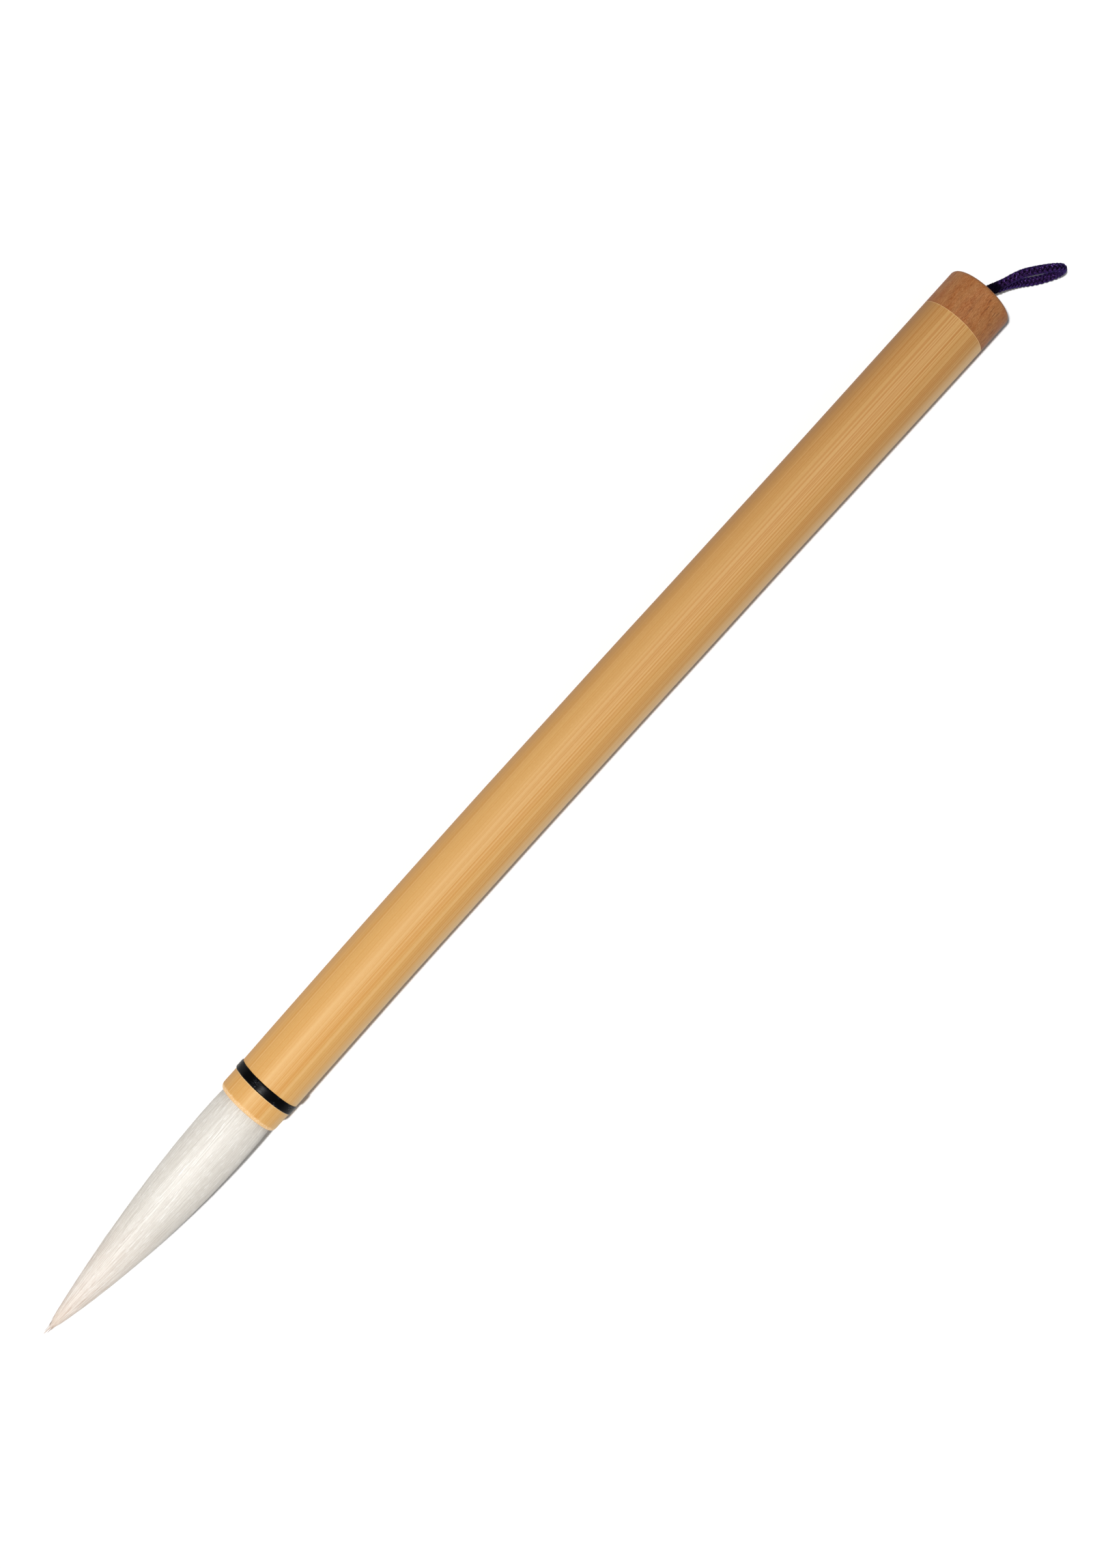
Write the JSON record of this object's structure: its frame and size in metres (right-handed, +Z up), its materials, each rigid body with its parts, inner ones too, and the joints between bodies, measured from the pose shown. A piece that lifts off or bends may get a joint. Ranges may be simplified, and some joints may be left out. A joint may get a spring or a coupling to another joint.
{
  "type": "calligraphy brush",
  "caption": "Large calligraphy brush: bamboo handle with a black band, a bound white hair tuft that bends, a wooden end cap and a braided cord loop to hang it by.",
  "frame": {"origin": "on the surface that the brush lies on, under the middle of its length from hair point to cap end", "axes": "+X along the handle towards the end cap, -X towards the point of the hair, +Z up from the surface, +Y across the brush"},
  "size_m": [0.2604, 0.015, 0.013],
  "materials": {
    "bamboo": "satin golden bamboo with fine fibres along the handle",
    "cap_wood": "satin mid-brown fine-pored wood",
    "band_black": "glossy black, lightly scuffed",
    "cord_purple": "silky dark purple braid",
    "hair_white": "soft off-white animal hair",
    "hair_core": "cream core hair",
    "thread": "waxed hemp thread",
    "glue": "hardened amber glue",
    "sear": "seared, hardened hair ends"
  },
  "bodies": {
    "handle": {"bamboo_handle": "bamboo", "black_band": "band_black", "end_cap": "cap_wood", "cord_tails": "cord_purple", "cord_knot": "cord_purple", "root_glue": "glue", "root_thread": "thread", "root_seal": "sear", "waist_hair": "hair_core", "cover_hair_root": "hair_white"},
    "tuft": {"cover_hair": "hair_white", "belly_hair": "hair_core", "throat_hair": "hair_core", "life_hair": "hair_white"},
    "loop": {"cord_loop": "cord_purple"}
  },
  "joints": [
    {"name": "tuft_bend", "type": "hinge", "parent": "handle", "child": "tuft", "pos_m": [-0.0796, 0, 0.0065], "axis": [0, 0, 1], "range_deg": [-40, 40], "stiffness_Nm_per_rad": 0.01},
    {"name": "loop_swing", "type": "hinge", "parent": "handle", "child": "loop", "pos_m": [0.1222, 0, 0.0065], "axis": [0, 0, 1], "range_deg": [-45, 50]}
  ]
}
